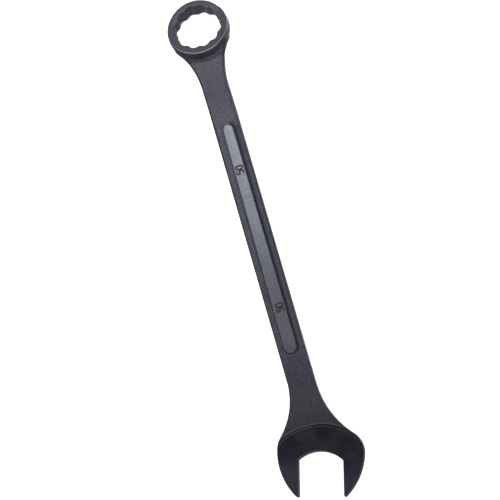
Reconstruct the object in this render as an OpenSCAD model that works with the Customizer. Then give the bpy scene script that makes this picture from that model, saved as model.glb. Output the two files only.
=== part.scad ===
// Combination wrench, 50 mm across flats: a drop-forged, black-finished bar with a
// twelve-point ring at one end and an open jaw at the other.
// Origin: centre of the ring's socket. +X runs to the jaw, +Z is the front face's side.

/* [Jaws] */
// Width across flats of the ring and of the jaw
across_flats = 50; // [46:0.5:52]
// Diameter across the points of the ring's twelve-point socket
across_points = 55.8; // [55:0.1:57]
// Turn of the socket's points about the ring's axis, in degrees
socket_turn = 8.5; // [0:0.5:30]

/* [Ring end] */
// Largest diameter of the ring, half way up its barrelled wall
ring_d = 72.3; // [70:0.1:78]
// Diameter of the ring's two flat faces
ring_face_d = 70.6; // [68:0.1:72]
// Thickness of the ring
ring_t = 14.2; // [12:0.1:18]
// Tilt of the ring's faces to the shank, in degrees
ring_tilt = 15; // [10:0.5:20]
// Height of the socket's centre above the shank's middle plane
ring_lift = 6; // [4:0.5:9]
// Radius of the concave curve from the ring to the shank's sides
ring_neck_r = 95; // [70:1:130]
// Rise of the neck's middle plane where it meets the ring
neck_rise = 4; // [2:0.5:5]
// Distance from the socket's centre to where the shank becomes straight
ring_neck_end = 108; // [100:1:115]

/* [Shank] */
// Width of the shank
shank_w = 30.6; // [26:0.1:36]
// Thickness of the shank
shank_t = 11; // [9:0.1:14]
// Radius of the shank's long edges
shank_edge_r = 2; // [1:0.1:3]

/* [Panels] */
// Distance from the socket's centre to the near end of the raised panels
panel_start = 117; // [115:1:140]
// Distance from the socket's centre to the far end of the raised panels
panel_end = 394; // [360:1:410]
// Width of the raised panels
panel_w = 16.2; // [12:0.1:18]
// Shift of the panels' middle off the shank's centre line
panel_y = 0.6; // [0:0.1:1.5]
// Turn of the panels from the shank's centre line, in degrees
panel_turn = 0.5; // [0:0.1:0.8]
// Height of the raised panels at their crown
panel_h = 1.5; // [0.8:0.1:2]
// Height of the raised panels at their sides
panel_side_h = 0.8; // [0.4:0.1:1]

/* [Open end] */
// Distance from the socket's centre to the centre of the open head
head_x = 501.4; // [480:0.1:520]
// Shift of the open head's centre off the shank's centre line
head_y = 0.7; // [0:0.1:2]
// Angle of the jaw to the shank, in degrees
jaw_angle = 15; // [10:0.5:22.5]
// Thickness of the milled jaw
jaw_t = 13.5; // [12:0.1:15]
// Thickness of the forged head beside the milled jaw
head_t = 15.5; // [15.1:0.1:17]
// Distance from the head's centre to the throat, along the jaw
throat_u = 5.2; // [3:0.1:8]
// Shift of the throat's curve off the jaw's centre line, towards the near side
throat_shift = 2; // [0:0.1:3]
// Radius of the throat's curve
throat_r = 36; // [30:0.5:45]
// Distance from the head's centre to the jaw's tips, along the jaw
tip_u = 56.5; // [50:0.5:60]
// Radius of the two curves along the outside of the jaw
cheek_r = 70; // [60:0.5:75]
// Half of the head's width
head_half_w = 48.2; // [46:0.1:52]
// Radius of the near shoulder, on the side that the jaw leans to
near_shoulder_r = 27; // [20:0.5:30]
// Radius of the far shoulder, on the side that the jaw leans away from
far_shoulder_r = 24.5; // [18:0.5:28]
// Radius of the concave curve from the shank to the near shoulder
near_neck_r = 80; // [65:1:95]
// Radius of the concave curve from the shank to the far shoulder
far_neck_r = 103; // [85:1:125]

/* [Hidden] */

// Middle plane and surfaces of the shank
shank_z = -ring_lift;
half_t = shank_t / 2;
half_w = shank_w / 2;
// Where the straight shank ends and the neck of the open head begins
jaw_neck_start = 428;
// Where the neck reaches the head's full thickness
jaw_neck_full = 474;
// How far the ring's profile is drawn past its wall before it is trimmed
past = 2;
// Bevel round the edges of the ring's faces
face_bevel = 0.4;
// Relief behind the ring's back face, just wider than the socket's points
relief_r = across_points / 2 + 1.2;
// Distance over which the neck's back rounds up to the ring's back face, and the
// direction where that curve begins, which leans clear of the face
back_nose = 22;
nose_turn = 195;
// Cheek circles stand off the jaw's centre line by this much, on the other side
cheek_u = 5.4;
cheek_v = cheek_r - head_half_w;
// Directions from the cheek circles' centres to where the shoulders begin
near_turn = -93.2;
far_turn = 87.7;
// Milled faces: the cutter's centre along the jaw, its radius and its sloped wall
mill_u = 45.2;
mill_r = 66.3;
mill_slope = 2.8;
// Radius of the corners between the throat and the flats
throat_corner = 2.5;
// Steps in an outline's curve
arc_steps = 14;
black = [0.16, 0.165, 0.18];
dark = [0.09, 0.09, 0.10];
satin = [0.42, 0.43, 0.46];

// Half of a cosine wave from 0 to 1 as x goes from a to b, flat outside them
function ease(x, a, b) =
    let (t = min(1, max(0, (x - a) / (b - a)))) (1 - cos(180 * t)) / 2;

// Points of an arc about c, from angle a to angle b
function arc(c, r, a, b, steps = arc_steps) =
    [for (i = [0:steps]) let (t = a + (b - a) * i / steps) c + r * [cos(t), sin(t)]];

// Turns a point of the jaw's own axes, u along the jaw and v across it, into X and Y
function from_jaw(p) =
    [head_x + p.x * cos(jaw_angle) + p.y * sin(jaw_angle),
     head_y - p.x * sin(jaw_angle) + p.y * cos(jaw_angle)];

// Rounded rectangle centred on the origin
module rounded_rect(w, h, r) {
    square([w, h - 2 * r], center = true);
    square([w - 2 * r, h], center = true);
    for (x = [-1, 1], y = [-1, 1])
        translate([x * (w / 2 - r), y * (h / 2 - r)]) circle(r, $fn = 32);
}

// Puts its children on the ring's tilted axis
module on_ring() {
    rotate([0, -ring_tilt, 0]) children();
}

// Twelve-point star: two hexagons, their points cut back to across_points
module star() {
    intersection() {
        for (turn = [0, 30])
            rotate(socket_turn + turn)
                circle(d = across_flats / cos(30), $fn = 6);
        circle(d = across_points, $fn = 96);
    }
}

// Barrel-shaped ring, with a small bevel round each face
module ring_body() {
    bulge = (ring_d - ring_face_d) / 2;
    wall_r = (pow(ring_t / 2, 2) + bulge * bulge) / (2 * bulge);
    rotate_extrude($fn = 128)
        intersection() {
            translate([ring_d / 2 - wall_r, 0]) circle(wall_r, $fn = 128);
            polygon([[0, -ring_t / 2], [ring_face_d / 2 - face_bevel, -ring_t / 2],
                     [ring_d / 2 + past, -ring_t / 2 + face_bevel + past],
                     [ring_d / 2 + past, ring_t / 2 - face_bevel - past],
                     [ring_face_d / 2 - face_bevel, ring_t / 2], [0, ring_t / 2]]);
        }
}

// Side view of the ring's neck: its front falls to the shank's front, and its back
// rounds up to the plane of the ring's back face
module ring_neck_side() {
    nose_x = relief_r * cos(ring_tilt);
    back_z = function(x) x * tan(ring_tilt) - ring_t / 2 / cos(ring_tilt);
    nose_z = back_z(nose_x);
    heel_x = nose_x + back_nose;
    rise = function(x) neck_rise * (1 - ease(x, 40, ring_neck_end));
    heel_z = shank_z - half_t + rise(heel_x);
    front = [for (x = [ring_neck_end:-4:0]) [x, shank_z + half_t + rise(x)]];
    nose = arc([0, 0], 1, nose_turn, 270);
    back = [for (x = [heel_x + 4:4:ring_neck_end + 3])
        let (e = min(x, ring_neck_end)) [e, shank_z - half_t + rise(e)]];
    polygon(concat(
        front,
        [[0, back_z(0)], [nose_x, nose_z]],
        [for (p = nose) [heel_x + back_nose * p.x, nose_z + (nose_z - heel_z) * p.y]],
        back));
}

// Outline of the ring's neck, seen from the front
module ring_neck_outline() {
    gap = ring_d / 2 - half_w;
    c = [sqrt(gap * (ring_d / 2 + half_w + 2 * ring_neck_r)), half_w + ring_neck_r];
    meet = atan2(c.y, c.x);
    side = arc(c, ring_neck_r, 180 + meet, 270);
    polygon(concat(
        [[0, 0]], side, [[ring_neck_end, half_w], [ring_neck_end, -half_w]],
        [for (i = [len(side) - 1:-1:0]) [side[i].x, -side[i].y]]));
}

// Ring with its socket, and the neck down to the straight shank
module box_end() {
    color(black)
        difference() {
            union() {
                on_ring() ring_body();
                intersection() {
                    translate([0, 0, -50]) linear_extrude(100) ring_neck_outline();
                    rotate([90, 0, 0])
                        linear_extrude(100, center = true) ring_neck_side();
                }
            }
            on_ring() {
                linear_extrude(40, center = true) star();
                translate([0, 0, -ring_t / 2 - 30]) cylinder(h = 30, r = relief_r, $fn = 96);
            }
        }
}

// Straight bar with rounded edges
module shank() {
    color(black)
        translate([ring_neck_end, 0, shank_z])
            rotate([90, 0, 90])
                linear_extrude(jaw_neck_start - ring_neck_end)
                    rounded_rect(shank_w, shank_t, shank_edge_r);
}

// Raised panel with half-round ends and a crowned top, standing on z = 0
module panel() {
    long = panel_end - panel_start - panel_w;
    drop = panel_h - panel_side_h;
    crown_r = (pow(panel_w / 2, 2) + drop * drop) / (2 * drop);
    translate([(panel_start + panel_end) / 2, panel_y, 0])
        rotate([0, 0, -panel_turn])
            intersection() {
                linear_extrude(panel_h) {
                    square([long, panel_w], center = true);
                    for (x = [-long / 2, long / 2])
                        translate([x, 0]) circle(d = panel_w, $fn = 64);
                }
                translate([0, 0, panel_h - crown_r])
                    rotate([0, 90, 0])
                        cylinder(h = long + 2 * panel_w, r = crown_r, center = true, $fn = 128);
            }
}

module front_panel() {
    color(satin) translate([0, 0, shank_z + half_t]) panel();
}

module back_panel() {
    color(satin) translate([0, 0, shank_z - half_t]) mirror([0, 0, 1]) panel();
}

// Outline of the open head and its neck, without the jaw's opening
module head_outline() {
    // Shoulder circles lie inside the cheek circles and touch them
    near_c = from_jaw([cheek_u, cheek_v]
        + (cheek_r - near_shoulder_r) * [cos(near_turn), sin(near_turn)]);
    far_c = from_jaw([cheek_u, -cheek_v]
        + (cheek_r - far_shoulder_r) * [cos(far_turn), sin(far_turn)]);
    // Neck circles touch the shank's sides and the shoulder circles
    near_dy = half_w + near_neck_r + near_c.y;
    near_sum = near_neck_r + near_shoulder_r;
    near_n = [near_c.x - sqrt(near_sum * near_sum - near_dy * near_dy), -half_w - near_neck_r];
    near_meet = atan2(near_c.y - near_n.y, near_c.x - near_n.x);
    far_dy = half_w + far_neck_r - far_c.y;
    far_sum = far_neck_r + far_shoulder_r;
    far_n = [far_c.x - sqrt(far_sum * far_sum - far_dy * far_dy), half_w + far_neck_r];
    far_meet = atan2(far_c.y - far_n.y, far_c.x - far_n.x);
    // Cheeks run from the shoulders to the tips
    tip_turn = acos((tip_u - cheek_u) / cheek_r);
    near_cheek = arc([cheek_u, cheek_v], cheek_r, near_turn, -tip_turn);
    far_cheek = arc([cheek_u, -cheek_v], cheek_r, tip_turn, far_turn);
    polygon(concat(
        [[jaw_neck_start, half_w], [jaw_neck_start, -half_w]],
        arc(near_n, near_neck_r, 90, near_meet),
        arc(near_c, near_shoulder_r, near_meet - 180, near_turn - jaw_angle),
        [for (p = near_cheek) from_jaw(p)],
        [for (p = far_cheek) from_jaw(p)],
        arc(far_c, far_shoulder_r, far_turn - jaw_angle, far_meet + 180),
        arc(far_n, far_neck_r, far_meet, -90)));
}

// One side of the jaw's opening: from the middle of the throat to the flat at v = a,
// where the throat's circle is centred at v = shift
function throat_half(a, shift) =
    let (centre_u = throat_u + throat_r,
         corner_v = a - throat_corner,
         reach = corner_v - shift,
         corner_u = centre_u - sqrt(pow(throat_r - throat_corner, 2) - reach * reach),
         meet = atan2(reach, centre_u - corner_u))
    concat(
        arc([centre_u, shift], throat_r, 180, 180 - meet),
        arc([corner_u, corner_v], throat_corner, 180 - meet, 90));

// The jaw's opening on its own axes: two flats, and a curved throat with round corners
module jaw_opening() {
    a = across_flats / 2;
    far = throat_half(a, -throat_shift);
    near = throat_half(a, throat_shift);
    polygon(concat(
        far, [[tip_u + 10, a], [tip_u + 10, -a]],
        [for (i = [len(near) - 1:-1:1]) [near[i].x, -near[i].y]]));
}

// Puts its children on the jaw's own axes
module on_jaw() {
    translate([head_x, head_y, shank_z]) rotate([0, 0, -jaw_angle]) children();
}

// Side view of the head and its neck: it thickens from the shank to the head
module head_side() {
    xs = [for (x = [jaw_neck_start:4:jaw_neck_full]) x];
    half = function(x) half_t + (head_t / 2 - half_t) * ease(x, jaw_neck_start, jaw_neck_full);
    polygon(concat(
        [for (x = xs) [x, shank_z + half(x)]],
        [[jaw_neck_full, shank_z + head_t / 2], [head_x + 80, shank_z + head_t / 2],
         [head_x + 80, shank_z - head_t / 2], [jaw_neck_full, shank_z - head_t / 2]],
        [for (i = [len(xs) - 1:-1:0]) [xs[i], shank_z - half(xs[i])]]));
}

// Space above the milled face: the cutter's circle with a sloped wall
module mill_cut() {
    depth = (head_t - jaw_t) / 2;
    translate([mill_u, 0, jaw_t / 2]) {
        cylinder(h = depth, r1 = mill_r, r2 = mill_r + mill_slope, $fn = 128);
        translate([0, 0, depth - 0.001]) cylinder(h = 5, r = mill_r + mill_slope, $fn = 128);
    }
}

// Neck, head and jaw
module open_end() {
    color(dark)
        difference() {
            intersection() {
                translate([0, 0, shank_z - 20]) linear_extrude(40) head_outline();
                rotate([90, 0, 0]) linear_extrude(200, center = true) head_side();
            }
            on_jaw() {
                linear_extrude(40, center = true) jaw_opening();
                mill_cut();
                mirror([0, 0, 1]) mill_cut();
            }
        }
}

box_end();
shank();
front_panel();
back_panel();
open_end();
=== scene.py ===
"""Visible surfaces of a 50 mm combination wrench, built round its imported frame.

Shapes are worked out in millimetres, as distance fields or as rows of points, and each
mesh is scaled to metres when it is made.
"""

import math

import bmesh
import bpy
import numpy as np
from mathutils import Matrix, Vector, noise

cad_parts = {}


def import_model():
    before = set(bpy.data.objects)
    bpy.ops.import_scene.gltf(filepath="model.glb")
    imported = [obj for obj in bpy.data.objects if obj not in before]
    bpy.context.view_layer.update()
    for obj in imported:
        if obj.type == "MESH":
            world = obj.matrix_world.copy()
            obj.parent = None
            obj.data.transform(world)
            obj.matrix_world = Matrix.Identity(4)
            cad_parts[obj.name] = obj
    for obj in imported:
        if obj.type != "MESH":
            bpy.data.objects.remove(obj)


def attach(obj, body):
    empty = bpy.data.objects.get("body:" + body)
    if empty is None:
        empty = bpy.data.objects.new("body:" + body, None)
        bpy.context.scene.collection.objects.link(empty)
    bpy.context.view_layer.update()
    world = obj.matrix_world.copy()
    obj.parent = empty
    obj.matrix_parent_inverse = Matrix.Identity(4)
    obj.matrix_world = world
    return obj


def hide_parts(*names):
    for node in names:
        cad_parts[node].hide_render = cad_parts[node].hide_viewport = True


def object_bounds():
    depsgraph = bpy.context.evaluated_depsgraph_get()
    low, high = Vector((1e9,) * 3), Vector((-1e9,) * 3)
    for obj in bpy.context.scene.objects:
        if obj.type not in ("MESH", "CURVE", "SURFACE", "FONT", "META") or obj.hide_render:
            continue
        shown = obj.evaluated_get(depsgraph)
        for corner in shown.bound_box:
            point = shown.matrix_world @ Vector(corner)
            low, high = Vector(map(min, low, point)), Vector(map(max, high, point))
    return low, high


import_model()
cad_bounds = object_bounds()

MM = 0.001

# Sizes that part.scad also has, in millimetres and degrees
ACROSS_FLATS = 50.0
ACROSS_POINTS = 55.8
SOCKET_TURN = 8.5
RING_D = 72.3
RING_FACE_D = 70.6
RING_T = 14.2
RING_TILT = 15.0
RING_NECK_R = 95.0
NECK_RISE = 4.0
NECK_RISE_START = 40.0
RING_NECK_END = 108.0
BACK_NOSE = 22.0
SHANK_Z = -6.0
SHANK_W = 30.6
SHANK_T = 11.0
PANEL_START = 117.0
PANEL_END = 394.0
PANEL_W = 16.2
PANEL_Y = 0.6
PANEL_TURN = 0.5
JAW_NECK_START = 428.0
JAW_NECK_FULL = 474.0
HEAD_X = 501.4
HEAD_Y = 0.7
JAW_ANGLE = 15.0
JAW_T = 13.5
HEAD_T = 15.5
THROAT_U = 5.2
THROAT_SHIFT = 2.0
THROAT_R = 36.0
THROAT_CORNER = 2.5
TIP_U = 56.5
CHEEK_U = 5.4
CHEEK_R = 70.0
HEAD_HALF_W = 48.2
NEAR_SHOULDER_R = 27.0
FAR_SHOULDER_R = 24.5
NEAR_NECK_R = 80.0
FAR_NECK_R = 103.0
NEAR_TURN = -93.2
FAR_TURN = 87.7
MILL_U = 45.2
MILL_R = 66.3
MILL_SLOPE = 2.8

HALF_W = SHANK_W / 2
HALF_T = SHANK_T / 2
RELIEF_R = ACROSS_POINTS / 2 + 1.2
OVERRUN = 20.0

# Roundings and fillets that only the visible surface has
RING_EDGE_R = 0.7
SOCKET_EDGE_R = 0.35
RING_BLEND = 5.0
FLANK_BLEND = 15.0
SIDE_BLEND = 4.0
MEET_FADE = 0.35
NOSE_BLEND = 4.0
FILLET_START = 12.0
FILLET_FULL = 30.0
WIDEN_START = 6.0
WIDEN_FULL = 36.0
NECK_FRONT_R = 2.8
NECK_BACK_R = 5.4
NECK_SOFT_END = 58.0
SHANK_FRONT_R = 3.2
SHANK_BACK_R = 2.0
JAW_NECK_R = 1.6
HEAD_EDGE_R = 2.3
HEAD_DRAFT = 0.6
MILL_EDGE_R = 0.25
OPENING_EDGE_R = 0.4
TIP_R = 0.8
NEAR_TIP_U = 54.3
FAR_TIP_U = 56.0
FORGED_WAVE = 0.045

# Meshes: the box each is found in, its cells, and the pull on a cell's point to the
# middle of its crossings
RING_BOX = ((-40.0, RING_NECK_END), (-39.0, 39.0), (-20.0, 19.0))
BAR_BOX = ((RING_NECK_END, JAW_NECK_START), (-17.0, 17.0), (-13.0, 1.0))
JAW_BOX = ((JAW_NECK_START, JAW_NECK_START + 138.0), (-55.0, 52.0), (-15.0, 3.0))
RING_CELL = (0.5, 0.5, 0.5)
BAR_CELL = (1.2, 0.5, 0.5)
JAW_CELL = (0.6, 0.6, 0.45)
CENTRE_PULL = 0.08

# Raised panels: heights at the ring end's -Y (left) and +Y (right) side and at the jaw
# end, and the flanks' widths there
LEFT_HEIGHT = 1.0
RIGHT_HEIGHT = 2.2
JAW_HEIGHT = 1.0
PANEL_CROWN = 0.15
LEFT_FLANK = 1.6
RIGHT_FLANK = 4.2
JAW_FLANK = 1.0
PANEL_SINK = 0.3
SEAT_DEPTH = 0.02
FLANK_ROWS = 13
CREASE_ROWS = 9
TOP_ROWS = (0.06, 0.14, 0.25, 0.4, 0.6, 0.8, 1.0)
CROWN_AT_NUMERALS = 0.7
PANEL_ROW_STEP = 1.2

# Stamped numerals
NUMERAL_PLACES = (174.6, 340.2)
DIGIT_H = 8.2
DIGIT_W = 4.5
DIGIT_STEP = 5.6
STROKE_R = 0.7
STROKE_LIFT = 0.12

# Where wear, painted shade and painted highlights lie, and how wide they are
EDGE_REACH = 1.3
HEAD_SHADE_START = 370.0
SHADE_LEFT = 1.2
SHADE_RIGHT = 5.0
SHADE_JAW = 1.6
RIM_WIDTH = 0.45
LINE_WIDTH = 0.5
FOOT_WIDTH = 0.6
TURNED_END = 40.0
OXIDE_START = 6.0
OXIDE_FULL = 46.0

# Finishes, painted shade and painted highlights: colours in linear light, and the depth of the
# grain in metres
FORGED_DARK = (0.051, 0.050, 0.067)
FORGED_LIGHT = (0.105, 0.104, 0.134)
WORN = (0.16, 0.16, 0.18)
SOCKET_BLUE = (0.085, 0.080, 0.112)
# Painted shade in creases and beside the panels
CREASE_SHADE = (0.012, 0.011, 0.018)
# Ring faces: painted shade
TURNED_SHADE = (0.056, 0.058, 0.072)
# Painted highlight on the ring's front edge
RIM_HIGHLIGHT = (0.60, 0.60, 0.57)
# Painted shade, put in hollows and towards the head
PAINTED_SHADE = (0.029, 0.028, 0.040)
MILLED_DARK = (0.009, 0.009, 0.019)
MILLED_LIGHT = (0.025, 0.025, 0.040)
OXIDE_THIN = (0.055, 0.053, 0.076)
# Painted highlight along the milled step
STEP_HIGHLIGHT = (0.26, 0.24, 0.215)
GROUND_DARK = (0.110, 0.117, 0.142)
GROUND_LIGHT = (0.176, 0.184, 0.214)
FORGED_METAL = 0.6
BURNISHED = 0.3
STAMPED_DARK = (0.018, 0.018, 0.022)
STAMPED_LIGHT = (0.04, 0.04, 0.046)
STAMPED_METAL = 0.2
GRAIN_DEPTH = 0.00028
GROUND_DEPTH = 0.00012
STAMPED_DEPTH = 0.00004

# Stage, in metres and degrees
SKY_TINT = (0.93, 0.95, 1.0)
SKY_UP = 0.10
SKY_DOWN = 0.45
HORIZON_LOW = -0.35
HORIZON_HIGH = -0.05
RING = (0.0, 0.0, 0.0)
MIDDLE = (0.26, 0.0, 0.0)
HEAD = (0.50, 0.03, 0.0)
# Name, aim, direction, distance, size and power of each light. The two bounces lie
# below the floor: they stand for light off the pale table, which the floor doesn't give.
LIGHTS = [
    ("key", RING, (-0.35, -0.15, 0.92), 1.3, (0.9, 0.9), 4.4),
    ("near_key", RING, (-0.30, -0.10, 0.94), 0.7, (0.4, 0.4), 1.8),
    ("low_back", MIDDLE, (-0.9, -0.2, 0.2), 1.8, (1.2, 0.4), 7.0),
    ("fill", MIDDLE, (0.75, 0.05, 0.6), 2.0, (0.5, 0.5), 14.0),
    ("ring_bounce", RING, (-0.60, 0.72, -0.30), 0.26, (0.2, 0.08), 1.8),
    ("head_bounce", HEAD, (-0.35, 0.85, -0.35), 0.22, (0.2, 0.08), 0.3),
]
CAMERA_AIM = (0.26522, -0.01429, -0.006)
CAMERA_AZIMUTH = 22.383
CAMERA_ELEVATION = 73.64
CAMERA_DISTANCE = 2.6666
CAMERA_ROLL = -16.134
CAMERA_LENS = 171.64
CAMERA_SENSOR = 36
FLOOR_GAP = 0.0003
FLOOR_HALF = 6.0
FLOOR_GLOW = 0.93
FLOOR_DARK = (0.80, 0.80, 0.80)
FLOOR_LIGHT = (0.82, 0.82, 0.82)

COARSE = 1.0


# ---------------------------------------------------------------- distance fields

def ease(x, a, b):
    """Half of a cosine wave from 0 to 1 as x goes from a to b."""
    t = np.clip((x - a) / (b - a), 0, 1)
    return (1 - np.cos(np.pi * t)) / 2


def mix(a, b, t):
    """From a to b as t goes from 0 to 1."""
    return a + (b - a) * t


def round_max(a, b, r):
    """Intersection of two fields, its edge rounded to radius r."""
    corner = np.hypot(np.maximum(a + r, 0), np.maximum(b + r, 0))
    return np.minimum(np.maximum(a, b), -r) + corner


def smooth_min(a, b, reach):
    """Union of two fields, with a fillet where they meet."""
    h = np.maximum(reach - np.abs(a - b), 0) / reach
    return np.minimum(a, b) - h * h * reach / 4


def hexagon(a, b, turn):
    """Distance from a hexagon, ACROSS_FLATS wide, with a corner at that turn."""
    far = -np.inf
    for side in range(3):
        angle = math.radians(turn + 30 + 60 * side)
        far = np.maximum(far, np.abs(a * math.cos(angle) + b * math.sin(angle)))
    return far - ACROSS_FLATS / 2


def neck_lift(x):
    """Rise of the ring neck's middle plane above the shank's."""
    return NECK_RISE * (1 - ease(x, NECK_RISE_START, RING_NECK_END))


def edge_radius(x, neck_r, shank_r):
    """Radius of the long edges from the ring to the head, tightening towards the jaw."""
    along = np.clip((x - RING_NECK_END) / (JAW_NECK_START - RING_NECK_END), 0, 1)
    from_neck = ease(x, NECK_SOFT_END, RING_NECK_END)
    r = mix(neck_r, mix(shank_r, JAW_NECK_R, along), from_neck)
    return r + (HEAD_EDGE_R - JAW_NECK_R) * ease(x, JAW_NECK_START, JAW_NECK_FULL)


def bar_field(side, top, bottom, x):
    """A bar inside its sides, top and bottom, with rounded long edges."""
    front = round_max(side, top, edge_radius(x, NECK_FRONT_R, SHANK_FRONT_R))
    return round_max(front, bottom, edge_radius(x, NECK_BACK_R, SHANK_BACK_R))


def ring_axes(x, z):
    """x and z on the ring's own axes: along its face, and along its axis."""
    tilt = math.radians(RING_TILT)
    return x * math.cos(tilt) + z * math.sin(tilt), z * math.cos(tilt) - x * math.sin(tilt)


def ring_wall(rho, n):
    """Barrelled outside of the ring."""
    bulge = (RING_D - RING_FACE_D) / 2
    wall_r = ((RING_T / 2) ** 2 + bulge ** 2) / (2 * bulge)
    return np.hypot(rho - (RING_D / 2 - wall_r), n) - wall_r


def neck_side(x, y):
    """Sides of the neck: arcs that leave the ring and run into the shank. Short of where
    they leave the ring, the field grows slowly, which spreads the blend along the wall."""
    side_y = np.abs(y)
    gap = RING_D / 2 - HALF_W
    centre_x = math.sqrt(gap * (RING_D / 2 + HALF_W + 2 * RING_NECK_R))
    centre_y = HALF_W + RING_NECK_R
    meet = math.atan2(centre_y, centre_x)
    curve = RING_NECK_R - np.hypot(np.minimum(x - centre_x, 0), side_y - centre_y)
    past_meet = side_y * math.cos(meet) - x * math.sin(meet)
    return np.maximum(curve, past_meet * MEET_FADE)


def neck_bottom(x, z, n):
    """Underside of the neck, ending in a rounded nose behind the ring."""
    tilt = math.radians(RING_TILT)
    nose_x = RELIEF_R * math.cos(tilt)
    nose_z = nose_x * math.tan(tilt) - RING_T / 2 / math.cos(tilt)
    heel_x = nose_x + BACK_NOSE
    drop = nose_z - (SHANK_Z - HALF_T + neck_lift(np.maximum(x, heel_x)))
    nose = np.hypot(np.minimum(x - heel_x, 0) / BACK_NOSE, np.minimum(z - nose_z, 0) / drop)
    reach = 0.01 + NOSE_BLEND * ease(x, FILLET_START, FILLET_FULL)
    return smooth_min((nose - 1) * drop, -n - RING_T / 2, reach)


def ring_and_neck_field(x, y, z, n, rho):
    """Ring and neck, with a fillet where the neck's top runs into the ring's wall. The
    fillet is wider towards the sides, and it stays inside the sides and the bottom."""
    wall = ring_wall(rho, n)
    side = smooth_min(wall, neck_side(x, y), SIDE_BLEND)
    bottom = neck_bottom(x, z, n)
    ring = round_max(wall, np.abs(n) - RING_T / 2, RING_EDGE_R)
    neck = bar_field(side, z - (SHANK_Z + HALF_T + neck_lift(x)), bottom, x)
    wide = mix(RING_BLEND, FLANK_BLEND, ease(np.abs(y), WIDEN_START, WIDEN_FULL))
    reach = 0.01 + wide * ease(x, FILLET_START, FILLET_FULL)
    return np.maximum(smooth_min(ring, neck, reach), np.maximum(side, bottom))


def socket_field(a, b, rho):
    """Twelve-point socket: two hexagons, their points cut back."""
    star = np.minimum(hexagon(a, b, SOCKET_TURN), hexagon(a, b, SOCKET_TURN + 30))
    return np.maximum(star, rho - ACROSS_POINTS / 2)


def box_end_field(x, y, z):
    a, n = ring_axes(x, z)
    rho = np.hypot(a, y)
    body = ring_and_neck_field(x, y, z, n, rho)
    relief = np.maximum(rho - RELIEF_R, n + RING_T / 2)
    body = np.maximum(body, -relief)
    return round_max(body, -socket_field(a, y, rho), SOCKET_EDGE_R)


def shank_field(x, y, z):
    up = z - SHANK_Z
    return bar_field(np.abs(y) - HALF_W, up - HALF_T, -up - HALF_T, x)


def arc(centre, r, start, end, steps=24):
    """Points of an arc, from one direction in degrees to another."""
    turn = np.radians(np.linspace(start, end, steps + 1))
    return np.column_stack([centre[0] + r * np.cos(turn), centre[1] + r * np.sin(turn)])


def polar(r, degrees):
    """A point at that distance and direction."""
    turn = math.radians(degrees)
    return np.array([r * math.cos(turn), r * math.sin(turn)])


def from_jaw(points):
    """Turns points on the jaw's own axes, u along it and v across, into X and Y."""
    turn = math.radians(JAW_ANGLE)
    u, v = np.atleast_2d(points).T
    return np.column_stack([HEAD_X + u * math.cos(turn) + v * math.sin(turn),
                            HEAD_Y - u * math.sin(turn) + v * math.cos(turn)])


def to_jaw(x, y):
    """The reverse of from_jaw: u and v of points given by X and Y."""
    turn = math.radians(JAW_ANGLE)
    dx = x - HEAD_X
    dy = y - HEAD_Y
    return dx * math.cos(turn) - dy * math.sin(turn), dx * math.sin(turn) + dy * math.cos(turn)


def head_outline():
    """Outline of the open head and its neck, without the opening. It starts OVERRUN
    before the neck, and the opening's outline ends as far past the tips."""
    cheek_v = CHEEK_R - HEAD_HALF_W
    near = from_jaw([CHEEK_U, cheek_v] + polar(CHEEK_R - NEAR_SHOULDER_R, NEAR_TURN))[0]
    far = from_jaw([CHEEK_U, -cheek_v] + polar(CHEEK_R - FAR_SHOULDER_R, FAR_TURN))[0]

    def neck_centre(shoulder, side, neck_r, shoulder_r):
        y = side * (HALF_W + neck_r)
        reach = math.sqrt((neck_r + shoulder_r) ** 2 - (y - shoulder[1]) ** 2)
        centre = np.array([shoulder[0] - reach, y])
        return centre, math.degrees(math.atan2(shoulder[1] - y, reach))

    near_neck, near_meet = neck_centre(near, -1, NEAR_NECK_R, NEAR_SHOULDER_R)
    far_neck, far_meet = neck_centre(far, 1, FAR_NECK_R, FAR_SHOULDER_R)
    tip_turn = math.degrees(math.acos((TIP_U - CHEEK_U) / CHEEK_R))
    start = JAW_NECK_START - OVERRUN
    return np.vstack([
        [[start, HALF_W], [start, -HALF_W]],
        arc(near_neck, NEAR_NECK_R, 90, near_meet),
        arc(near, NEAR_SHOULDER_R, near_meet - 180, NEAR_TURN - JAW_ANGLE),
        from_jaw(arc([CHEEK_U, cheek_v], CHEEK_R, NEAR_TURN, -tip_turn)),
        from_jaw(arc([CHEEK_U, -cheek_v], CHEEK_R, tip_turn, FAR_TURN)),
        arc(far, FAR_SHOULDER_R, FAR_TURN - JAW_ANGLE, far_meet + 180),
        arc(far_neck, FAR_NECK_R, far_meet, -90)])


def throat_half(shift):
    """From the middle of the throat to a flat, on the jaw's own axes."""
    centre_u = THROAT_U + THROAT_R
    corner_v = ACROSS_FLATS / 2 - THROAT_CORNER
    reach = corner_v - shift
    corner_u = centre_u - math.sqrt((THROAT_R - THROAT_CORNER) ** 2 - reach ** 2)
    meet = math.degrees(math.atan2(reach, centre_u - corner_u))
    return np.vstack([arc([centre_u, shift], THROAT_R, 180, 180 - meet),
                      arc([corner_u, corner_v], THROAT_CORNER, 180 - meet, 90, 10)])


def opening_outline():
    """The jaw's opening: two flats and a curved throat with round corners."""
    half = ACROSS_FLATS / 2
    near = throat_half(THROAT_SHIFT)[:0:-1] * [1, -1]
    return from_jaw(np.vstack([throat_half(-THROAT_SHIFT), [[TIP_U + OVERRUN, half]],
                               [[TIP_U + OVERRUN, -half]], near]))


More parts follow.
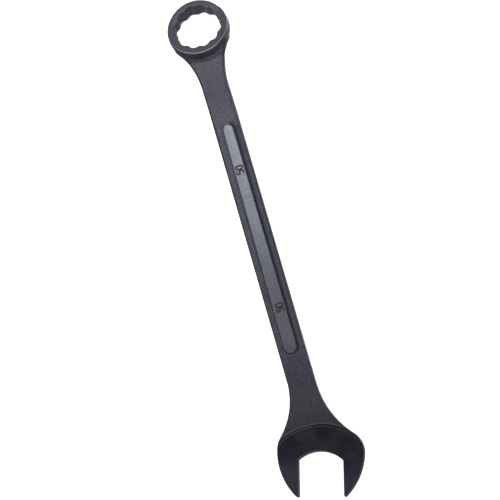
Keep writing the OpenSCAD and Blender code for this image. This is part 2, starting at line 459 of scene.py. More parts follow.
def outline_distance(x, y, outline):
    """Distance from a closed outline, negative inside it."""
    nearest = np.full(np.broadcast(x, y).shape, np.inf)
    inside = np.zeros(nearest.shape, bool)
    for (px, py), (qx, qy) in zip(outline, np.roll(outline, -1, axis=0)):
        ex = qx - px
        ey = qy - py
        length = ex * ex + ey * ey
        if length < 1e-12:
            continue
        t = np.clip(((x - px) * ex + (y - py) * ey) / length, 0, 1)
        nearest = np.minimum(nearest, (x - px - ex * t) ** 2 + (y - py - ey * t) ** 2)
        if py != qy:
            crosses = ((py > y) != (qy > y)) & (x < px + (y - py) * ex / ey)
            inside ^= crosses
    return np.sqrt(nearest) * np.where(inside, -1, 1)


def lookup(outline, low, high, step=0.25):
    """A function giving the outline's distance quickly, from a fine grid of it."""
    counts = [int(math.ceil((high[i] - low[i]) / step)) for i in range(2)]
    xs = low[0] + step * np.arange(counts[0] + 1)
    ys = low[1] + step * np.arange(counts[1] + 1)
    grid = outline_distance(xs[:, None], ys[None, :], outline)

    def distance(x, y):
        x, y = np.broadcast_arrays(x, y)
        u = np.clip((x - low[0]) / step, 0, counts[0] - 1e-6)
        v = np.clip((y - low[1]) / step, 0, counts[1] - 1e-6)
        i = u.astype(int)
        j = v.astype(int)
        u = u - i
        v = v - j
        return ((grid[i, j] * (1 - u) + grid[i + 1, j] * u) * (1 - v)
                + (grid[i, j + 1] * (1 - u) + grid[i + 1, j + 1] * u) * v)
    return distance


HEAD_LOW = (JAW_NECK_START - 3, -62)
HEAD_HIGH = (HEAD_X + 68, 62)
head_distance = lookup(head_outline(), HEAD_LOW, HEAD_HIGH)
opening_distance = lookup(opening_outline(), HEAD_LOW, HEAD_HIGH)


def mill_radius(x, y):
    """Distance from the axis of the cutter that milled the jaw."""
    u, v = to_jaw(x, y)
    return np.hypot(u - MILL_U, v)


def open_end_field(x, y, z):
    """Forged head, milled down on both faces, with the jaw's opening cut through it."""
    height = np.abs(z - SHANK_Z)
    grown = ease(x, JAW_NECK_START, JAW_NECK_FULL)
    half = mix(HALF_T, HEAD_T / 2, grown)
    draft = HEAD_DRAFT * grown * (height / half) ** 2
    up = z - SHANK_Z
    forged = bar_field(head_distance(x, y) + draft, up - half, -up - half, x)
    wall = np.maximum(mill_radius(x, y) - MILL_R, 0) / MILL_SLOPE
    milled = height - JAW_T / 2 - wall * (HEAD_T - JAW_T) / 2
    body = round_max(forged, milled, MILL_EDGE_R)
    opening = opening_distance(x, y)
    u, v = to_jaw(x, y)
    tip = u - np.where(v < 0, NEAR_TIP_U, FAR_TIP_U)
    tips = round_max(np.maximum(head_distance(x, y), tip), -opening, TIP_R)
    return round_max(np.maximum(body, tips), -opening, OPENING_EDGE_R)


# ---------------------------------------------------------------- meshes

def slope(field, points, reach=0.02):
    """Unit normals of a field at some points."""
    normal = np.empty_like(points)
    for axis in range(3):
        step = np.zeros(3)
        step[axis] = reach
        normal[:, axis] = field(*(points + step).T) - field(*(points - step).T)
    return normal / (np.linalg.norm(normal, axis=1)[:, None] + 1e-12)


def contour(field, low, high, step):
    """Points and quads of a field's surface, by dual contouring: each cell that the
    surface crosses gets the point where the planes of its crossings meet."""
    low = np.array(low, float)
    step = np.array(step, float)
    counts = np.round((np.array(high) - low) / step).astype(int)
    axes = [low[i] + step[i] * np.arange(counts[i] + 1) for i in range(3)]
    value = field(axes[0][:, None, None], axes[1][None, :, None], axes[2][None, None, :])
    inside = value < 0
    near = [slice(0, -1), slice(1, None)]
    corners = [inside[near[i], near[j], near[k]] for i in (0, 1) for j in (0, 1) for k in (0, 1)]
    some = np.logical_or.reduce(corners)
    every = np.logical_and.reduce(corners)
    cells = np.argwhere(some & ~every)
    number = np.full(some.shape, -1)
    number[tuple(cells.T)] = np.arange(len(cells))

    normal_sum = np.zeros((len(cells), 3, 3))
    plane_sum = np.zeros((len(cells), 3))
    point_sum = np.zeros((len(cells), 3))
    crossings = np.zeros(len(cells))
    for axis in range(3):
        others = [i for i in range(3) if i != axis]
        for shift in ((0, 0), (0, 1), (1, 0), (1, 1)):
            start = cells.copy()
            start[:, others[0]] += shift[0]
            start[:, others[1]] += shift[1]
            end = start.copy()
            end[:, axis] += 1
            a = value[tuple(start.T)]
            b = value[tuple(end.T)]
            hit = np.flatnonzero((a < 0) != (b < 0))
            along = a[hit] / (a[hit] - b[hit])
            point = low + start[hit] * step
            point[:, axis] += along * step[axis]
            normal = slope(field, point)
            point -= normal * field(*point.T)[:, None]
            normal_sum[hit] += normal[:, :, None] * normal[:, None, :]
            plane_sum[hit] += normal * (normal * point).sum(1)[:, None]
            point_sum[hit] += point
            crossings[hit] += 1
    middle = point_sum / crossings[:, None]
    left = normal_sum + CENTRE_PULL * np.eye(3)
    right = plane_sum + CENTRE_PULL * middle
    points = np.linalg.solve(left, right[:, :, None])[:, :, 0]
    floor = low + cells * step
    points = np.clip(points, floor, floor + step)

    quads = []
    around = [((0, 0), (1, 0), (1, 1), (0, 1)), ((0, 0), (0, 1), (1, 1), (1, 0)),
              ((0, 0), (1, 0), (1, 1), (0, 1))]
    for axis in range(3):
        others = [i for i in range(3) if i != axis]
        first = np.take(inside, range(counts[axis]), axis)
        second = np.take(inside, range(1, counts[axis] + 1), axis)
        edges = np.argwhere(first != second)
        keep = np.ones(len(edges), bool)
        for i in others:
            keep &= (edges[:, i] > 0) & (edges[:, i] < counts[i])
        edges = edges[keep]
        corner_ids = []
        for shift in around[axis]:
            cell = edges.copy()
            cell[:, others[0]] += shift[0] - 1
            cell[:, others[1]] += shift[1] - 1
            corner_ids.append(number[tuple(cell.T)])
        quad = np.column_stack(corner_ids)
        leaving = first[tuple(edges.T)]
        quad[~leaving] = quad[~leaving][:, ::-1]
        quads.append(quad)
    return points, np.vstack(quads), cells


def seat_end(field, points, rows, x):
    """Brings one row of points to a plane across the shank, along the surface."""
    ends = points[rows]
    ends[:, 0] = x
    for _ in range(4):
        normal = slope(field, ends)
        normal[:, 0] = 0
        normal /= (normal ** 2).sum(1)[:, None]
        ends -= normal * field(*ends.T)[:, None]
    points[rows] = ends


def forged_wave(point):
    """Low swells of a forged surface, between -1 and 0."""
    slow = noise.noise(point * 0.07)
    quick = noise.noise(point * 0.17)
    return (slow + 0.5 * quick) / 3 - 0.5


def add_values(mesh, name, values):
    layer = mesh.attributes.new(name, "FLOAT", "POINT")
    layer.data.foreach_set("value", np.asarray(values, np.float32))


def new_object(name, mesh, node, material):
    mesh.materials.append(material)
    piece = bpy.data.objects.new(name, mesh)
    bpy.context.scene.collection.objects.link(piece)
    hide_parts(node)
    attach(piece, "root")
    return piece


def smooth_mesh(name, points, faces, sharp=40):
    mesh = bpy.data.meshes.new(name)
    mesh.from_pydata((points * MM).tolist(), [], [list(f) for f in faces])
    mesh.validate()
    mesh.shade_smooth()
    mesh.set_sharp_from_angle(angle=math.radians(sharp))
    return mesh


def forged_piece(name, node, material, field, box, step, seams=(), machined=None,
                 marks=()):
    """One region of the forging, meshed from its field. Its seams are flat ends that
    lie on the same planes as its neighbours' ends."""
    step = np.array(step) * COARSE
    (x0, x1), y_range, z_range = box
    step[0] = (x1 - x0) / round((x1 - x0) / step[0])
    low = np.array([x0 - step[0] / 2, y_range[0], z_range[0]])
    high = np.array([x1 + step[0] / 2, y_range[1], z_range[1]])
    high[1:] = low[1:] + np.ceil((high[1:] - low[1:]) / step[1:]) * step[1:]
    points, quads, cells = contour(field, low, high, step)
    last = cells[:, 0].max()
    ends = []
    for x, row in ((x0, 0), (x1, last)):
        if x in seams:
            rows = np.flatnonzero(cells[:, 0] == row)
            seat_end(field, points, rows, x)
            ends.append(rows)

    normals = slope(field, points, 0.15)
    forged = np.ones(len(points)) if machined is None else 1 - machined(points, normals)
    wave = np.array([forged_wave(Vector(p)) for p in points])
    across = normals.copy()
    for rows in ends:
        across[rows, 0] = 0
    edge = np.clip(1 + field(*(points - EDGE_REACH * normals).T) / EDGE_REACH, 0, 1)
    cavity = np.clip(1 - field(*(points + EDGE_REACH * normals).T) / EDGE_REACH, 0, 1)
    points = points + across * (forged * wave * FORGED_WAVE * 2)[:, None]

    mesh = smooth_mesh(name, points, quads)
    add_values(mesh, "edge", edge)
    add_values(mesh, "cavity", cavity)
    add_values(mesh, "machined", 1 - forged)
    for mark, values in marks:
        add_values(mesh, mark, values(points))
    cap_ends(mesh)
    return new_object(name, mesh, node, material)


def cap_ends(mesh):
    """Closes the open ends with flat faces."""
    bm = bmesh.new()
    bm.from_mesh(mesh)
    open_edges = [e for e in bm.edges if e.is_boundary]
    if open_edges:
        caps = bmesh.ops.holes_fill(bm, edges=open_edges, sides=0)["faces"]
        for face in caps:
            face.smooth = False
            for e in face.edges:
                e.smooth = False
    bm.to_mesh(mesh)
    bm.free()


def panel_outline():
    """Round the panel: distance along the middle line, and outward direction."""
    half_l = (PANEL_END - PANEL_START - PANEL_W) / 2
    turns = np.radians(np.linspace(-90, 90, 33))
    runs = np.linspace(-half_l, half_l, int(2 * half_l / (PANEL_ROW_STEP * COARSE)))[1:-1]
    outline = [(half_l, math.cos(t), math.sin(t)) for t in turns]
    outline += [(x, 0, 1) for x in runs[::-1]]
    outline += [(-half_l, -math.cos(t), -math.sin(t)) for t in turns]
    outline += [(x, 0, -1) for x in runs]
    mid, nx, ny = np.array(outline).T
    along = np.clip((mid + half_l) / (2 * half_l), 0, 1)
    return mid, nx, ny, along


def panel_points(side):
    """Rows of points of a raised panel, from its foot to its middle. Its flanks are
    wide at the ring end and narrow and steep at the jaw end."""
    half_w = PANEL_W / 2
    mid, nx, ny, along = panel_outline()
    wide = mix(LEFT_FLANK, RIGHT_FLANK, (ny + 1) / 2)
    flank = mix(wide, JAW_FLANK, along ** 0.8)

    def row(inset, rise, lift):
        reach = half_w - inset
        x = mid + nx * reach
        y = ny * reach
        right = np.clip(y / half_w / 2 + 0.5, 0, 1)
        height = mix(mix(LEFT_HEIGHT, RIGHT_HEIGHT, right), JAW_HEIGHT, along)
        return np.column_stack([x, y, height * rise + lift])

    rows = [row(flank * 0, 0, -PANEL_SINK)]
    for t in np.linspace(0, 1, FLANK_ROWS):
        rows.append(row(flank * t, t * t * (3 - 2 * t), 0))
    for t in TOP_ROWS:
        rows.append(row(flank + (half_w - flank) * t, 1, PANEL_CROWN * (1 - (1 - t) ** 2)))
    turn = math.radians(-PANEL_TURN)
    spots = np.array(rows)
    x = spots[..., 0] * math.cos(turn) - spots[..., 1] * math.sin(turn)
    y = spots[..., 0] * math.sin(turn) + spots[..., 1] * math.cos(turn)
    spots[..., 0] = x + (PANEL_START + PANEL_END) / 2
    spots[..., 1] = y + PANEL_Y
    spots[..., 2] = SHANK_Z + side * (HALF_T - SEAT_DEPTH + spots[..., 2])
    return spots, along, ny


def panel_finish(shape, along, across):
    """How much each point is ground, and how much painted shade lies in the crease. The top is
    ground; at the ring end the narrow flank, -Y in front and +Y behind, takes the lighter ground
    finish as painted light, and the ground value drops towards the jaw end."""
    top_row = FLANK_ROWS + 1
    ground_and_lit = np.zeros(shape)
    ground_and_lit[top_row:] = 1
    ground_and_lit[top_row - 1] = 0.6
    # Painted light: the flank that faces the light at the ring end
    lit_flank = np.clip(1.3 - 2.2 * along, 0, 1) * np.clip(0.6 - across * 2, 0, 1)
    ground_and_lit[2:top_row] = np.maximum(ground_and_lit[2:top_row], lit_flank)
    ground_and_lit *= mix(1.0, 0.62, ease(along, 0.35, 0.8))
    crease_shade = np.zeros(shape)
    # Painted shade in the crease round the panel's foot
    crease_shade[:CREASE_ROWS] = (0.35 + 0.65 * ease(along, 0.2, 0.7)) * (1 - lit_flank)
    return ground_and_lit, crease_shade


def panel(name, node, material, side):
    """One raised panel; side is 1 for the front and -1 for the back."""
    spots, along, across = panel_points(side)
    rows, count = spots.shape[:2]
    points = spots.reshape(-1, 3)
    faces = []
    for r in range(rows - 1):
        for i in range(count):
            j = (i + 1) % count
            quad = [r * count + i, r * count + j, (r + 1) * count + j, (r + 1) * count + i]
            faces.append(quad if side > 0 else quad[::-1])
    bottom = list(range(count))
    faces.append(bottom[::-1] if side > 0 else bottom)
    mesh = smooth_mesh(name, points, faces, 50)
    ground_and_lit, crease_shade = panel_finish((rows, count), along, across * side)
    # The ground value also holds painted light on one flank, and the cavity value holds painted
    # shade in the crease
    add_values(mesh, "machined", ground_and_lit.ravel())
    add_values(mesh, "cavity", crease_shade.ravel())
    bm = bmesh.new()
    bm.from_mesh(mesh)
    bmesh.ops.remove_doubles(bm, verts=bm.verts, dist=1e-6)
    bm.to_mesh(mesh)
    bm.free()
    return new_object(name, mesh, node, material)


# ---------------------------------------------------------------- size numerals

def digit_strokes(digit):
    """Centre line of a plain numeral, DIGIT_W wide and DIGIT_H high, and if it closes."""
    if digit == "0":
        turn = np.linspace(0, 2 * np.pi, 33)[:-1]
        flat = 2 / 2.5
        c = np.cos(turn)
        s = np.sin(turn)
        x = DIGIT_W / 2 * (1 + np.sign(c) * np.abs(c) ** flat)
        y = DIGIT_H / 2 * (1 + np.sign(s) * np.abs(s) ** flat)
        return np.column_stack([x, y]), True
    bowl = arc([0, 0], 1, 128, -140, 18) * [DIGIT_W * 0.55, DIGIT_H * 0.32]
    bowl += [DIGIT_W * 0.43, DIGIT_H * 0.32]
    top = [[DIGIT_W * 0.93, DIGIT_H], [DIGIT_W * 0.12, DIGIT_H]]
    return np.vstack([top, bowl]), False


def numeral_cutter(at_x, text="50"):
    """Round strokes sunk into the front panel, read from the jaw towards the ring."""
    curve = bpy.data.curves.new("numeral", "CURVE")
    curve.dimensions = "3D"
    curve.bevel_depth = STROKE_R * MM
    curve.bevel_resolution = 3
    curve.use_fill_caps = True
    width = DIGIT_STEP * (len(text) - 1) + DIGIT_W
    for place, digit in enumerate(text):
        strokes, closed = digit_strokes(digit)
        spline = curve.splines.new("POLY")
        spline.points.add(len(strokes) - 1)
        spline.use_cyclic_u = closed
        for point, (right, up) in zip(spline.points, strokes):
            x = at_x + width / 2 - place * DIGIT_STEP - right
            y = PANEL_Y + DIGIT_H / 2 - up
            along = (x - PANEL_START) / (PANEL_END - PANEL_START)
            right_side = mix(LEFT_HEIGHT, RIGHT_HEIGHT, (y - PANEL_Y) / PANEL_W + 0.5)
            top = mix(right_side, JAW_HEIGHT, along) + PANEL_CROWN * CROWN_AT_NUMERALS
            z = SHANK_Z + HALF_T + top + STROKE_LIFT
            point.co = (x * MM, y * MM, z * MM, 1)
    return curve


def stamp(piece, places, material):
    """Cuts the size numerals into a panel as shallow round grooves."""
    piece.data.materials.append(material)
    for at_x in places:
        tool = bpy.data.objects.new("tool", numeral_cutter(at_x))
        bpy.context.scene.collection.objects.link(tool)
        graph = bpy.context.evaluated_depsgraph_get()
        solid = bpy.data.meshes.new_from_object(tool.evaluated_get(graph))
        bpy.data.objects.remove(tool)
        solid.materials.clear()
        solid.materials.append(material)
        cutter = bpy.data.objects.new("cutter", solid)
        bpy.context.scene.collection.objects.link(cutter)
        cut = piece.modifiers.new("cut", "BOOLEAN")
        cut.operation = "DIFFERENCE"
        cut.solver = "EXACT"
        cut.use_self = True
        cut.object = cutter
        graph = bpy.context.evaluated_depsgraph_get()
        result = bpy.data.meshes.new_from_object(piece.evaluated_get(graph))
        piece.modifiers.clear()
        piece.data = result
        bpy.data.objects.remove(cutter)
    piece.data.set_sharp_from_angle(angle=math.radians(35))


# ---------------------------------------------------------------- materials

class Nodes:
    """Short calls that add linked shader nodes to a material."""

    def __init__(self, name):
        self.material = bpy.data.materials.new(name)
        self.material.use_nodes = True
        self.tree = self.material.node_tree
        self.shader = self.tree.nodes["Principled BSDF"]
        self.place = self.add("ShaderNodeTexCoord").outputs["Object"]

    def add(self, kind, **settings):
        node = self.tree.nodes.new(kind)
        for key, value in settings.items():
            setattr(node, key, value)
        return node

    def feed(self, socket, value):
        if isinstance(value, bpy.types.NodeSocket):
            self.tree.links.new(value, socket)
        else:
            socket.default_value = value

    def noise(self, scale, detail=3, rough=0.5, stretch=(1, 1, 1), turn=0.0):
        """Noise whose grain is 1/scale metres, stretched along the axes."""
        mapping = self.add("ShaderNodeMapping")
        self.feed(mapping.inputs["Vector"], self.place)
        mapping.inputs["Scale"].default_value = stretch
        mapping.inputs["Rotation"].default_value = (0, 0, turn)
        texture = self.add("ShaderNodeTexNoise")
        self.feed(texture.inputs["Vector"], mapping.outputs[0])
        texture.inputs["Scale"].default_value = scale
        texture.inputs["Detail"].default_value = detail
        texture.inputs["Roughness"].default_value = rough
        return texture.outputs["Fac"]

    def value(self, name):
        return self.add("ShaderNodeAttribute", attribute_name=name).outputs["Fac"]

    def spread(self, value, low, high, to_low=0.0, to_high=1.0):
        """Maps a value from one range to another, held at its ends."""
        node = self.add("ShaderNodeMapRange")
        self.feed(node.inputs["Value"], value)
        for name, number in (("From Min", low), ("From Max", high),
                             ("To Min", to_low), ("To Max", to_high)):
            node.inputs[name].default_value = number
        return node.outputs[0]

    def math(self, kind, a, b):
        node = self.add("ShaderNodeMath", operation=kind)
        self.feed(node.inputs[0], a)
        self.feed(node.inputs[1], b)
        return node.outputs[0]

    def blend(self, factor, a, b):
        """Mixes two colours by a factor."""
        node = self.add("ShaderNodeMix", data_type="RGBA")
        self.feed(node.inputs[0], factor)
        self.feed(node.inputs[6], a if isinstance(a, bpy.types.NodeSocket) else (*a, 1))
        self.feed(node.inputs[7], b if isinstance(b, bpy.types.NodeSocket) else (*b, 1))
        return node.outputs[2]

    def blend_values(self, factor, a, b):
        """Mixes two values by a factor."""
        node = self.add("ShaderNodeMix", data_type="FLOAT")
        self.feed(node.inputs[0], factor)
        self.feed(node.inputs[2], a)
        self.feed(node.inputs[3], b)
        return node.outputs[0]

    def bump(self, height, depth):
        """Bump of that depth in metres."""
        node = self.add("ShaderNodeBump")
        self.feed(node.inputs["Height"], height)
        node.inputs["Distance"].default_value = depth
        return node.outputs[0]

    def finish(self, colour, rough, normal, metallic):
        self.feed(self.shader.inputs["Base Color"], colour)
        self.feed(self.shader.inputs["Roughness"], rough)
        self.feed(self.shader.inputs["Normal"], normal)
        self.shader.inputs["Metallic"].default_value = metallic
        return self.material


def forged_layers(m):
    """Colour and roughness of the black forged finish, and the bump of its grain. The colour
    holds painted shade in hollows, towards the head and beside the panels.
    """
    grain = m.noise(650, 3, 0.6)
    pits = m.noise(330, 2, 0.5)
    patches = m.noise(60, 4, 0.6)
    speckle = m.math("ADD", m.math("MULTIPLY", grain, 0.75), m.math("MULTIPLY", patches, 0.25))
    colour = m.blend(m.spread(speckle, 0.4, 0.6), FORGED_DARK, FORGED_LIGHT)
    worn = m.math("MULTIPLY", m.spread(m.value("edge"), 0.25, 0.75), m.spread(patches, 0.4, 0.7))
    colour = m.blend(m.math("MULTIPLY", worn, 0.15), colour, WORN)
    # Painted shade darkens the hollows and creases
    cavity_shade = m.spread(m.value("cavity"), 0.1, 0.8, 0.0, 0.6)
    colour = m.blend(cavity_shade, colour, PAINTED_SHADE)
    # Painted shade, darker towards the head
    colour = m.blend(m.math("MULTIPLY", m.value("head"), 0.55), colour, PAINTED_SHADE)
    # Painted shade beside the raised panels
    colour = m.blend(m.math("MULTIPLY", m.value("shade"), 0.85), colour, CREASE_SHADE)
    rough = m.spread(patches, 0.3, 0.7, 0.50, 0.60)
    rough = m.blend_values(m.spread(m.value("edge"), 0.2, 0.6, 0.0, 0.5), rough, BURNISHED)
    height = m.math("ADD", m.math("MULTIPLY", grain, 0.5), m.math("MULTIPLY", pits, 0.5))
    return colour, rough, height


def forged_black():
    """Black finish over a fine forged grain, a little worn along the edges, with painted shade in
    the socket's creases and on the ring's faces, and a painted highlight along the ring's front
    edge.
    """
    m = Nodes("forged_black")
    colour, rough, height = forged_layers(m)
    socket = m.math("MULTIPLY", m.value("machined"), 0.85)
    # Painted shade darkens the socket's creases
    socket_with_shade = m.blend(m.spread(m.value("cavity"), 0.2, 0.55), SOCKET_BLUE, CREASE_SHADE)
    colour = m.blend(socket, colour, socket_with_shade)
    # Smoother ring faces, darkened with painted shade
    turned_and_shaded = m.value("turned_and_shaded")
    colour = m.blend(m.math("MULTIPLY", turned_and_shaded, 0.8), colour, TURNED_SHADE)
    height = m.blend_values(turned_and_shaded, height, m.math("MULTIPLY", height, 0.35))
    rough = m.blend_values(socket, rough, BURNISHED)
    # Painted highlight along the ring's front edge
    rim_highlight = m.math("MULTIPLY", m.value("rim_highlight"), 0.8)
    colour = m.blend(rim_highlight, colour, RIM_HIGHLIGHT)
    return m.finish(colour, rough, m.bump(height, GRAIN_DEPTH), FORGED_METAL)


def milled_black():
    """Forged black outside; smooth, darker and mottled on the milled faces, with a painted
    highlight along the milled step.
    """
    m = Nodes("milled_black")
    colour, rough, height = forged_layers(m)
    patches = m.noise(45, 5, 0.65)
    lines = m.noise(260, 2, 0.5, (1, 9, 1), math.radians(JAW_ANGLE))
    cut = m.spread(m.value("machined"), 0.3, 0.7)
    milled = m.blend(m.spread(patches, 0.42, 0.62), MILLED_DARK, MILLED_LIGHT)
    towards_tips = m.math("MULTIPLY", m.value("tips"), m.spread(patches, 0.3, 0.7, 0.6, 1.0))
    milled = m.blend(towards_tips, milled, OXIDE_THIN)
    colour = m.blend(cut, colour, milled)
    # Painted highlight along the milled step's crest and foot
    colour = m.blend(m.math("MULTIPLY", m.value("step_highlight"), 0.8), colour, STEP_HIGHLIGHT)
    rough = m.blend_values(cut, rough, m.spread(patches, 0.3, 0.7, 0.44, 0.54))
    fine = m.math("ADD", m.math("MULTIPLY", height, 0.25), m.math("MULTIPLY", lines, 0.3))
    height = m.blend_values(cut, height, fine)
    return m.finish(colour, rough, m.bump(height, GRAIN_DEPTH), FORGED_METAL)


def ground_satin():
    """Ground top with fine cross lines, and forged black flanks; at the ring end one narrow flank
    takes the ground colour as painted light.
    """
    m = Nodes("ground_satin")
    colour, rough, height = forged_layers(m)
    lines = m.noise(300, 2, 0.6, (2.4, 0.25, 1), math.radians(8))
    patches = m.noise(50, 4, 0.6)
    ground_and_lit = m.spread(m.value("machined"), 0.0, 1.0)
    both = m.math("ADD", m.math("MULTIPLY", lines, 0.5), m.math("MULTIPLY", patches, 0.5))
    satin = m.blend(m.spread(both, 0.33, 0.67), GROUND_DARK, GROUND_LIGHT)
    colour = m.blend(ground_and_lit, colour, satin)
    rough = m.blend_values(ground_and_lit, rough, m.spread(both, 0.3, 0.7, 0.33, 0.42))
    fine = m.math("ADD", m.math("MULTIPLY", height, 0.4), m.math("MULTIPLY", lines, 0.2))
    height = m.blend_values(ground_and_lit, height, fine)
    return m.finish(colour, rough, m.bump(height, GROUND_DEPTH), FORGED_METAL)


def stamped_black():
    """Dark bottom of the stamped numerals."""
    m = Nodes("stamped_black")
    grain = m.noise(700, 3, 0.6)
    colour = m.blend(m.spread(grain, 0.35, 0.65), STAMPED_DARK, STAMPED_LIGHT)
    rough = m.spread(grain, 0.3, 0.7, 0.6, 0.75)
    return m.finish(colour, rough, m.bump(grain, STAMPED_DEPTH), STAMPED_METAL)


# ---------------------------------------------------------------- pieces

def step_highlights(points):
    """Painted highlight: 1 along the crest of the milled step and, fainter, along its foot."""
    x, y, z = points.T
    radius = mill_radius(x, y)
    crest = np.clip(1 - np.abs(radius - MILL_R - MILL_SLOPE - 0.1) / LINE_WIDTH, 0, 1) * 0.8
    foot = np.clip(1 - np.abs(radius - MILL_R + 0.1) / FOOT_WIDTH, 0, 1) * 0.35
    return (crest + foot) * (np.abs(z - SHANK_Z) > JAW_T / 2 - 0.2)


def rim_highlight_line(points):
    """Painted highlight along the ring's front edge, strongest on the side towards the neck."""
    x, y, z = points.T
    a, n = ring_axes(x, z)
    near = np.hypot(np.hypot(a, y) - RING_FACE_D / 2, n - RING_T / 2 + RING_EDGE_R / 2)
    toward_neck = ease(a / (np.hypot(a, y) + 1e-6), 0.1, 0.95)
    return np.clip(1.5 - near / RIM_WIDTH, 0, 1) * (0.12 + 0.88 * toward_neck)


def turned_and_shaded_mask(points):
    """1 on the ring's two flat faces, which are smoother than the forging and darkened with
    painted shade.
    """
    x, y, z = points.T
    _, n = ring_axes(x, z)
    return (np.abs(n) > RING_T / 2 - 0.15).astype(float) * (x < TURNED_END)


def tip_mask(points):
    """Grows from 0 at the throat to 1 at the tips, where the finish is thinner."""
    u, v = to_jaw(points[:, 0], points[:, 1])
    return ease(u - 0.25 * v, OXIDE_START, OXIDE_FULL)


def head_mask(points):
    """Painted shade: grows from 0 at the shank to 1 at the head, darkening the forging towards
    the head.
    """
    return ease(points[:, 0], HEAD_SHADE_START, JAW_NECK_FULL)


def rib_shade(points):
    """Painted shade: a dark soft line round the foot of the raised panels, broad along
    the +Y side at the ring end."""
    x, y, z = points.T
    half_w = PANEL_W / 2
    half_l = (PANEL_END - PANEL_START) / 2 - half_w
    past = x - (PANEL_START + PANEL_END) / 2
    along = np.clip((past + half_l) / (2 * half_l), 0, 1)
    aside = y - PANEL_Y
    reach = np.hypot(np.maximum(np.abs(past) - half_l, 0), aside)
    right = ease(aside / (reach + 1e-6), -0.2, 0.9)
    width = mix(SHADE_LEFT, mix(SHADE_RIGHT, SHADE_JAW, along ** 0.7), right)
    flat = np.abs(z - SHANK_Z) > HALF_T - 0.6
    return np.clip(1 - (reach - half_w) / width, 0, 1) * flat * mix(0.3 + 0.7 * right, 1.0, along)


def milled_mask(points, normals):
    """1 on the milled faces and step, the throat and the flats of the open end."""
    x, y, z = points.T
    wall = mill_radius(x, y) < MILL_R + MILL_SLOPE - 0.1
    flat = wall & (np.abs(normals[:, 2]) > 0.85) & (np.abs(z - SHANK_Z) > JAW_T / 2 - 0.3)
    cut = np.abs(opening_distance(x, y)) < 0.3
    return (flat | cut).astype(float)


def socket_mask(points, normals):
    """1 on the socket's walls."""
    x, y, z = points.T
    a, _ = ring_axes(x, z)
    return (np.abs(socket_field(a, y, np.hypot(a, y))) < 0.2).astype(float)


black = forged_black()
milled = milled_black()
satin = ground_satin()
stamped = stamped_black()

forged_piece("ring_and_neck", "box_end", black, box_end_field,
             RING_BOX, RING_CELL, seams=(RING_NECK_END,), machined=socket_mask,
             marks=(("rim_highlight", rim_highlight_line), ("turned_and_shaded", turned_and_shaded_mask)))
forged_piece("bar", "shank", black, shank_field,
             BAR_BOX, BAR_CELL, seams=(RING_NECK_END, JAW_NECK_START),
             marks=(("head", head_mask), ("shade", rib_shade)))
forged_piece("open_jaw", "open_end", milled, open_end_field,
             JAW_BOX, JAW_CELL, seams=(JAW_NECK_START,), machined=milled_mask,
             marks=(("step_highlight", step_highlights), ("tips", tip_mask), ("head", head_mask)))
front = panel("front_rib", "front_panel", satin, 1)
stamp(front, NUMERAL_PLACES, stamped)
panel("back_rib", "back_panel", satin, -1)


# ---------------------------------------------------------------- stage

def floor():
    """Pale floor just under the lowest point of the wrench. It glows evenly, and it
    neither lights the wrench nor takes a shadow from it."""
    z = cad_bounds[0][2] - FLOOR_GAP
    corners = [(-1, -1), (1, -1), (1, 1), (-1, 1)]
    mesh = bpy.data.meshes.new("floor")
    mesh.from_pydata([(x * FLOOR_HALF, y * FLOOR_HALF, z) for x, y in corners],
                     [], [(0, 1, 2, 3)])
    plane = bpy.data.objects.new("floor", mesh)
    bpy.context.scene.collection.objects.link(plane)
    m = Nodes("floor")
    grain = m.noise(3, 2, 0.5)
    m.feed(m.shader.inputs["Base Color"], m.blend(grain, FLOOR_DARK, FLOOR_LIGHT))
    m.shader.inputs["Roughness"].default_value = 0.9
    m.shader.inputs["Emission Color"].default_value = (1, 1, 1, 1)
    m.shader.inputs["Emission Strength"].default_value = FLOOR_GLOW
    mesh.materials.append(m.material)
    plane.visible_glossy = False
    plane.visible_diffuse = False
    plane.visible_shadow = False


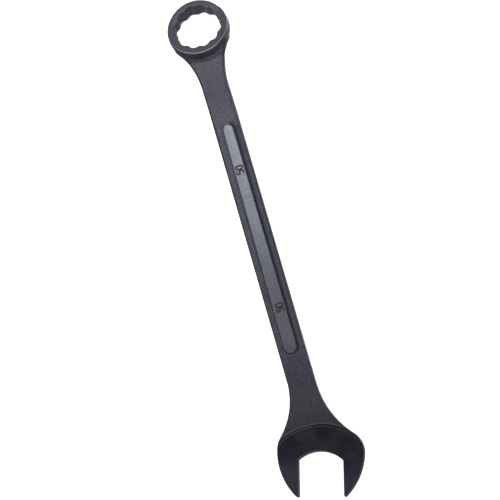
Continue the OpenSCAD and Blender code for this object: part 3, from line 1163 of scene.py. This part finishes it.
def soft_light(name, aim, toward, distance, size, power):
    """Rectangular soft light at a distance from its aim, facing it."""
    light = bpy.data.lights.new(name, "AREA")
    light.shape = "RECTANGLE"
    light.size, light.size_y = size
    light.energy = power
    lamp = bpy.data.objects.new(name, light)
    direction = Vector(toward).normalized()
    lamp.location = Vector(aim) + direction * distance
    lamp.rotation_euler = direction.to_track_quat("Z", "Y").to_euler()
    bpy.context.scene.collection.objects.link(lamp)
    return lamp


def world():
    """Soft grey light from above and from the pale table below."""
    sky = bpy.data.worlds.new("studio")
    sky.use_nodes = True
    tree = sky.node_tree
    place = tree.nodes.new("ShaderNodeTexCoord")
    split = tree.nodes.new("ShaderNodeSeparateXYZ")
    tree.links.new(place.outputs["Generated"], split.inputs[0])
    height = tree.nodes.new("ShaderNodeMapRange")
    height.inputs["From Min"].default_value = HORIZON_LOW
    height.inputs["From Max"].default_value = HORIZON_HIGH
    tree.links.new(split.outputs["Z"], height.inputs["Value"])
    shade = tree.nodes.new("ShaderNodeMix")
    shade.data_type = "RGBA"
    tree.links.new(height.outputs[0], shade.inputs[0])
    shade.inputs[6].default_value = (*[SKY_DOWN * c for c in SKY_TINT], 1)
    shade.inputs[7].default_value = (*[SKY_UP * c for c in SKY_TINT], 1)
    tree.links.new(shade.outputs[2], tree.nodes["Background"].inputs["Color"])
    bpy.context.scene.world = sky


def camera():
    """Camera above the wrench and past its jaw, rolled as in the photo."""
    azimuth = math.radians(CAMERA_AZIMUTH)
    elevation = math.radians(CAMERA_ELEVATION)
    roll = math.radians(CAMERA_ROLL)
    back = Vector((math.cos(azimuth) * math.cos(elevation),
                   math.sin(azimuth) * math.cos(elevation), math.sin(elevation)))
    right = (-back).cross(Vector((-1, 0, 0))).normalized()
    up = back.cross(right)
    right, up = (right * math.cos(roll) + up * math.sin(roll),
                 up * math.cos(roll) - right * math.sin(roll))
    data = bpy.data.cameras.new("camera")
    data.lens = CAMERA_LENS
    data.sensor_width = CAMERA_SENSOR
    data.clip_end = 50
    eye = bpy.data.objects.new("camera", data)
    turn = Matrix((right, up, back)).transposed().to_4x4()
    place = Vector(CAMERA_AIM) + back * CAMERA_DISTANCE
    eye.matrix_world = Matrix.Translation(place) @ turn
    bpy.context.scene.collection.objects.link(eye)
    bpy.context.scene.camera = eye


floor()
world()
for light in LIGHTS:
    soft_light(*light)
camera()
bpy.context.scene.view_settings.view_transform = "Standard"
